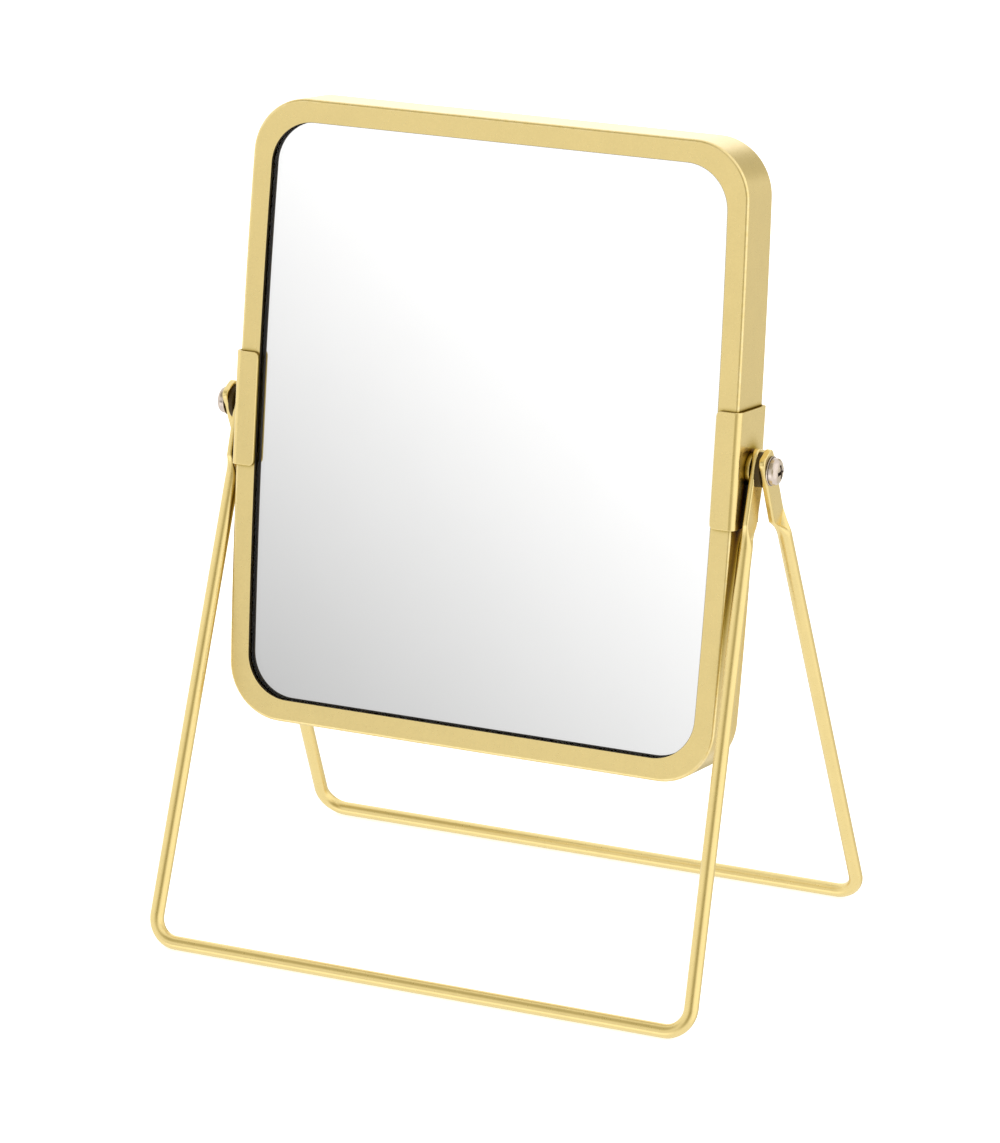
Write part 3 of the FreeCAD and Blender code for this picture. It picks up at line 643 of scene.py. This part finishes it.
def frame_half(name, node, upwards):
    """One half of the channel frame: its section follows the outline and the opening's edge."""
    low, high = own_box("frame_upper_half", MIRROR_POSE)
    half_depth = (high.y - low.y) / 2
    window_half_width = own_box("side_clip_right", MIRROR_POSE)[0].x
    outer = upper_outline(high.x, high.z, FRAME_CORNER, SIDE_RADIUS)
    rim_at_side = high.x - window_half_width
    window = upper_outline(window_half_width, high.z - RIM, WINDOW_CORNER, SIDE_RADIUS - rim_at_side)

    inside = half_depth - SHEET
    corners = [(0.0, -half_depth), (RIM, -half_depth), (RIM, -inside), (SHEET, -inside),
               (SHEET, inside), (RIM, inside), (RIM, half_depth), (0.0, half_depth)]
    inner_bend = FRAME_BEND - SHEET
    radii = [FRAME_BEND, LIP_EDGE, LIP_EDGE, inner_bend, inner_bend, LIP_EDGE, LIP_EDGE, FRAME_BEND]
    section = rounded(corners, radii, 6, support=LIP_EDGE)
    past_lip_edge = RIM - 1.2 * LIP_EDGE
    on_lip = [point.x > past_lip_edge for point, wear in section]

    rings = []
    for (edge, edge_normal), (lip, lip_normal) in zip(outer, window):
        ring = []
        for point, wear in section:
            if point.x < RIM / 2:
                place = edge - edge_normal * point.x
            else:
                place = lip + lip_normal * (RIM - point.x)
            ring.append((place.x, point.y, place.z * upwards))
        rings.append(ring)

    def slot_of(row, i):
        return 1 if on_lip[i] and on_lip[(i + 1) % len(on_lip)] else 0

    half = loft(name, rings, [PAINTED, BLACK_SEAL], [wear for point, wear in section], slot_of)
    drill_along_pivot(half, SCREW_HOLE)
    finish_piece(half, MIRROR_POSE, "mirror_head", "gold_paint", node)


def side_clip(name, node, side):
    """A strip folded round the frame's side, with rounded flange corners and softened edges."""
    low, high = own_box("side_clip_right", MIRROR_POSE)
    half_depth, half_height = high.y, high.z
    front = []
    for back in (0.0, CLIP_EDGE, *spread(2 * CLIP_EDGE, CLIP_CORNER, 5)):
        front.append((Vector((low.x + back, -half_depth, 0.0)), Vector((0.0, -1.0, 0.0)), back))
    bend_centre = Vector((high.x - CLIP_BEND, CLIP_BEND - half_depth, 0.0))
    for turn in spread(0.0, math.pi / 2, 8):
        normal = Vector((math.sin(turn), -math.cos(turn), 0.0))
        front.append((bend_centre + normal * CLIP_BEND, normal, CLIP_CORNER))
    flip = Vector((1.0, -1.0, 1.0))
    rear = [(point * flip, normal * flip, back) for point, normal, back in reversed(front)]

    rings = []
    for point, normal, back in front + rear:
        shrink = CLIP_EDGE if back == 0.0 else 0.0
        height = half_height - corner_loss(back, CLIP_CORNER) - shrink
        corners = [(shrink, -height), (CLIP_SHEET - shrink, -height),
                   (CLIP_SHEET - shrink, height), (shrink, height)]
        ring = []
        for (inwards, up), wear in rounded(corners, [CLIP_EDGE] * 4, 3, support=CLIP_EDGE / 2):
            place = point - normal * inwards
            ring.append((place.x * side, place.y, up))
        rings.append(ring)
    edges = [wear for point, wear in rounded([(0, 0), (1, 0), (1, 1), (0, 1)], [0.1] * 4, 3, 0.1)]
    clip = loft(name, rings, [PAINTED], edges)
    drill_along_pivot(clip, SCREW_HOLE)
    finish_piece(clip, MIRROR_POSE, "mirror_head", "gold_paint", node)


def plate_outline(half_width, half_height, corner, inset):
    """A closed rounded rectangle, with points along its straight sides too."""
    across, up, radius = half_width - corner, half_height - corner, corner - inset
    outline = []
    for quarter, (x, z) in enumerate([(across, up), (-across, up), (-across, -up), (across, -up)]):
        start = quarter * math.pi / 2
        for angle in spread(start, start + math.pi / 2, 10):
            outline.append(Vector((x + radius * math.cos(angle), z + radius * math.sin(angle))))
        outline += straight_run(outline[-1], quarter, across, up)
    return outline


def straight_run(start, quarter, across, up):
    """The inner points of the straight side that follows a corner of a plate."""
    steps = 14
    length = 2 * (across if quarter % 2 == 0 else up)
    heading = [Vector((-1, 0)), Vector((0, -1)), Vector((1, 0)), Vector((0, 1))][quarter]
    return [start + heading * length * step / steps for step in range(1, steps)]


def mirror_glass(name, node, face_at, back_at):
    """A silvered glass plate: clear face, ground edge, bright back. The two depths are functions."""
    low, high = own_box(node, MIRROR_POSE)
    half_width, half_height = high.x, high.z
    whole = plate_outline(half_width, half_height, GLASS_CORNER, 0.0)
    eased = plate_outline(half_width, half_height, GLASS_CORNER, GLASS_BEVEL)
    shares = spread(0.0, 1.0, 12)
    outward = 1.0 if face_at(0.0) > back_at(0.0) else -1.0

    def ring(outline, share, depth_at, drop):
        points = [point * share for point in outline]
        return [(p.x, depth_at(p.length) + drop * outward, p.y) for p in points]

    rings = [ring(eased, share, face_at, 0.0) for share in shares]
    rings.append(ring(whole, 1.0, face_at, -GLASS_BEVEL))
    rings.append(ring(whole, 1.0, back_at, GLASS_BEVEL))
    rings += [ring(eased, share, back_at, 0.0) for share in reversed(shares)]
    last_face_row = len(shares) - 2

    def slot_of(row, i):
        if row <= last_face_row:
            return 0
        return 1 if row <= last_face_row + 3 else 2

    plate = loft(name, rings, [CLEAR_GLASS, GROUND_EDGE, SILVERING], slot_of=slot_of)
    finish_piece(plate, MIRROR_POSE, "mirror_head", "mirror_glass", node)


def front_glass():
    """The flat glass, seen in front."""
    low, high = own_box("front_mirror_glass", MIRROR_POSE)
    face, back = low.y + GLASS_PLAY, high.y - GLASS_PLAY
    mirror_glass("front_glass", "front_mirror_glass", lambda radius: face, lambda radius: back)


def rear_glass():
    """The hollow glass. Its face and its back are parts of two balls with one centre."""
    low, high = own_box("rear_magnifying_glass", MIRROR_POSE)
    to_corner = Vector((high.x - GLASS_CORNER, high.z - GLASS_CORNER))
    corner_reach = math.hypot(to_corner.x + GLASS_CORNER * math.sqrt(0.5),
                              to_corner.y + GLASS_CORNER * math.sqrt(0.5))
    centre_y = high.y + math.sqrt(MAGNIFIER_RADIUS ** 2 - corner_reach ** 2)
    front_low, front_high = own_box("front_mirror_glass", MIRROR_POSE)
    back_radius = MAGNIFIER_RADIUS + (front_high.y - front_low.y)

    def face_at(radius):
        return centre_y - GLASS_PLAY - math.sqrt(MAGNIFIER_RADIUS ** 2 - radius ** 2)

    def back_at(radius):
        return centre_y + GLASS_PLAY - math.sqrt(back_radius ** 2 - radius ** 2)

    mirror_glass("rear_glass", "rear_magnifying_glass", face_at, back_at)


# ---------------------------------------------------------------- pivots

def ring_disc(name, node, side, pose, body, slot, material):
    """A washer or collar with eased edges."""
    inner, outer, bore, radius = disc_sizes(node)
    corners = [(inner, bore), (outer, bore), (outer, radius), (inner, radius)]
    edge = min(DISC_EDGE, (outer - inner) / 4)
    outline = rounded(corners, [edge] * 4, 4)
    profile = [(point.x * side, point.y) for point, wear in outline]
    disc = revolved(name, profile, True, [material], [wear for point, wear in outline])
    finish_piece(disc, pose, body, slot, node)


def head_profile(seat, top, head_radius):
    """The pan head's outline: a straight edge, then a rounded shoulder that flattens to the top."""
    roundness = 2.3
    outline = [(seat, head_radius - DISC_EDGE), (seat + DISC_EDGE, head_radius)]
    for turn in spread(0.0, math.pi / 2, 12):
        rise = math.sin(turn) ** (2 / roundness)
        width = math.cos(turn) ** (2 / roundness)
        outline.append((seat + HEAD_EDGE + (top - seat - HEAD_EDGE) * rise, head_radius * width))
    return outline


def recess_cutter(top, side, turn):
    """A cross that narrows inwards, for the screw's recess."""
    span, arm = RECESS_SPAN / 2, RECESS_ARM / 2
    quarter = [(span, -arm), (span, arm), (arm, arm)]
    cross = []
    for step in range(4):
        angle = step * math.pi / 2 + turn
        for y, z in quarter:
            cross.append((y * math.cos(angle) - z * math.sin(angle),
                          y * math.sin(angle) + z * math.cos(angle)))
    clear_of_head, narrowing = 0.5 * MM, 0.48
    above = 1.0 + narrowing * clear_of_head / RECESS_DEPTH
    levels = [(top + clear_of_head, above), (top, 1.0), (top - RECESS_DEPTH, 1.0 - narrowing)]
    rings = [[(x * side, y * size, z * size) for y, z in cross] for x, size in levels]
    return loft("recess", rings)


def pivot_screw(name, node, side_name):
    """A pan-head screw with a cross recess."""
    side = SIDES[side_name]
    tip, top, least, head_radius = disc_sizes(node)
    seat = top - HEAD_HEIGHT
    profile = [(tip, 0.0), (tip, SCREW_SHANK - SCREW_CHAMFER), (tip + SCREW_CHAMFER, SCREW_SHANK),
               (seat, SCREW_SHANK)]
    profile += head_profile(seat, top, head_radius)
    screw = revolved(name, [(x * side, radius) for x, radius in profile], False, [NICKEL])
    cut_away(screw, recess_cutter(top, side, SCREW_TURNS[side_name]))
    finish_piece(screw, MIRROR_POSE, "mirror_head", "nickel", node)


def pivots():
    """On each side, from the clip outwards: collar, friction washer, head washer and screw."""
    for side_name, side in SIDES.items():
        ring_disc(f"collar_{side_name}", f"spacer_collar_{side_name}", side, MIRROR_POSE,
                  "mirror_head", "gold_paint", PAINTED)
        ring_disc(f"friction_disc_{side_name}", f"friction_washer_{side_name}", side,
                  FRONT_LEG_POSE, "front_stand", "black_nylon", BLACK_NYLON)
        ring_disc(f"washer_{side_name}", f"head_washer_{side_name}", side, MIRROR_POSE,
                  "mirror_head", "nickel", NICKEL)
        pivot_screw(f"screw_{side_name}", f"pivot_screw_{side_name}", side_name)


# ---------------------------------------------------------------- legs

FACE_STEPS = 10
EDGE_STEPS = 9


def tab_section(inner, outer, half_width, edge):
    """The pressed end's section: two flat faces joined by rounded edges, from the outer face on."""
    middle, half_thickness = (inner + outer) / 2, (outer - inner) / 2
    points = [Vector((outer, y)) for y in spread(edge - half_width, half_width - edge, FACE_STEPS)]
    for turn in spread(0.0, math.pi, EDGE_STEPS)[1:-1]:
        across = math.copysign(abs(math.cos(turn)) ** 0.6, math.cos(turn))
        points.append(Vector((middle + half_thickness * across,
                              half_width - edge + edge * math.sin(turn) ** 0.6)))
    return points + [Vector((2 * middle - p.x, -p.y)) for p in points]


def wire_section(centre_x):
    """The round wire's section, with as many points as the pressed end's."""
    flat_half_angle = math.radians(58)
    angles = spread(-flat_half_angle, flat_half_angle, FACE_STEPS)
    angles += spread(flat_half_angle, math.pi - flat_half_angle, EDGE_STEPS)[1:-1]
    points = [Vector((WIRE_RADIUS * math.cos(a), WIRE_RADIUS * math.sin(a))) for a in angles]
    points += [-point for point in points]
    return [Vector((centre_x + point.x, point.y)) for point in points]


def press_start(y):
    """Where the pressed face ends, below the pivot: a V, lowest at the wire's middle."""
    return PRESS_TIP - (PRESS_TIP - PRESS_EDGE) * min(1.0, abs(y) / TAB_HALF_WIDTH)


def pressed_end(tab_inner, tab_outer, above, centre_at):
    """Rings down a leg's right end, from the top of the pressed tab to the round wire."""
    edge = (tab_outer - tab_inner) * 0.45
    rings = []
    for back in (0.0, TAB_EDGE, *spread(2 * TAB_EDGE, TAB_CORNER, 5)):
        shrink = TAB_EDGE if back == 0.0 else 0.0
        half_width = TAB_HALF_WIDTH - corner_loss(back, TAB_CORNER) - shrink
        section = tab_section(tab_inner + shrink, tab_outer - shrink, half_width, edge)
        rings.append([(p.x, p.y, above - back) for p in section])
    tab = tab_section(tab_inner, tab_outer, TAB_HALF_WIDTH, edge)
    for share in spread(0.0, 1.0, 4):
        rings.append([(p.x, p.y, -TAB_STRAIGHT_END - share * (press_start(p.y) - TAB_STRAIGHT_END))
                      for p in tab])
    for share in spread(0.0, 1.0, 10)[1:]:
        blend = share * (2.0 - share)
        ring = []
        for number, flat in enumerate(tab):
            drop = press_start(flat.y) + share * (PRESS_END - press_start(flat.y))
            place = flat.lerp(wire_section(centre_at(drop))[number], blend)
            ring.append((place.x, place.y, -drop))
        rings.append(ring)
    return rings


def wire_leg(name, node, tab_inner, tab_outer, body, pose):
    """A U of round wire with pressed, drilled ends, from its right end to its left one."""
    low, high = own_box(node, pose)
    length = -low.z - WIRE_RADIUS
    top = LEG_TOPS[node]
    bend_centre = Vector((high.x - WIRE_RADIUS - LEG_BEND, 0.0, LEG_BEND - length))
    slope = math.atan2(high.x - WIRE_RADIUS - top, length)
    bend_top = bend_centre + Vector((math.cos(slope), 0.0, math.sin(slope))) * LEG_BEND

    def centre_at(drop):
        return top + (bend_top.x - top) * drop / -bend_top.z

    right = pressed_end(tab_inner, tab_outer, high.z, centre_at)
    circle = wire_section(0.0)
    for turn in spread(slope, -math.pi / 2, 14):
        outward = Vector((math.cos(turn), 0.0, math.sin(turn)))
        middle = bend_centre + outward * LEG_BEND
        right.append([middle + outward * p.x + Vector((0.0, p.y, 0.0)) for p in circle])
    left = [[(-point[0], point[1], point[2]) for point in ring] for ring in reversed(right)]
    leg = loft(name, right + left, [PAINTED_WIRE])
    drill_along_pivot(leg, LEG_HOLE)
    finish_piece(leg, pose, body, "gold_paint", node)


def legs():
    """Each leg's pressed ends fill the space between the collar, the friction washer and the head."""
    collar_face = disc_sizes("spacer_collar_right")[1]
    friction_inner, friction_outer = disc_sizes("friction_washer_right")[:2]
    washer_face = disc_sizes("head_washer_right")[0]
    wire_leg("wire_leg_front", "front_leg", collar_face + RUNNING_GAP, friction_inner,
             "front_stand", FRONT_LEG_POSE)
    wire_leg("wire_leg_rear", "rear_leg", friction_outer + RUNNING_GAP, washer_face - RUNNING_GAP,
             "rear_stand", REAR_LEG_POSE)


# ---------------------------------------------------------------- all of it

def paint_node(node, material):
    """Give a CAD node that is shown as it is its procedural material."""
    piece = frame["nodes"][node]
    if not piece.material_slots:
        piece.data.materials.append(material)
    for material_slot in piece.material_slots:
        material_slot.material = material


bpy.context.scene.view_settings.view_transform = "Standard"
make_camera()
make_studio()
make_floor()

# The frame, clips and collars get the paint with painted crevice shade; the wire legs get it without.
PAINTED = gold_paint("gold_paint", True)
PAINTED_WIRE = gold_paint("gold_paint_wire", False)
CLEAR_GLASS = clear_glass()
SILVERING = silvering()
GROUND_EDGE = ground_edge()
BLACK_SEAL = dark_matt("black_seal", (0.020, 0.012, 0.002), 0.2 * MM, 0.6)
BLACK_NYLON = dark_matt("black_nylon", (0.050, 0.031, 0.008), 0.15 * MM, 0.45)
FOAM = dark_matt("foam", (0.05, 0.05, 0.05), 0.5 * MM, 0.9)
# Both plated metals carry painted shade in their recesses.
NICKEL = plated_metal("nickel", (0.68, 0.58, 0.50), 0.20)
ZINC = plated_metal("zinc_steel", (0.62, 0.62, 0.60), 0.35)

frame_half("frame_shell_upper", "frame_upper_half", 1)
frame_half("frame_shell_lower", "frame_lower_half", -1)
for clip_side, clip_sign in SIDES.items():
    side_clip(f"clip_{clip_side}", f"side_clip_{clip_side}", clip_sign)
front_glass()
rear_glass()
pivots()
legs()
paint_node("foam_core", FOAM)
for seal in ("glass_seal_front", "glass_seal_rear"):
    paint_node(seal, BLACK_SEAL)
for nut_side in SIDES:
    paint_node(f"pivot_nut_{nut_side}", ZINC)


bpy.context.view_layer.update()
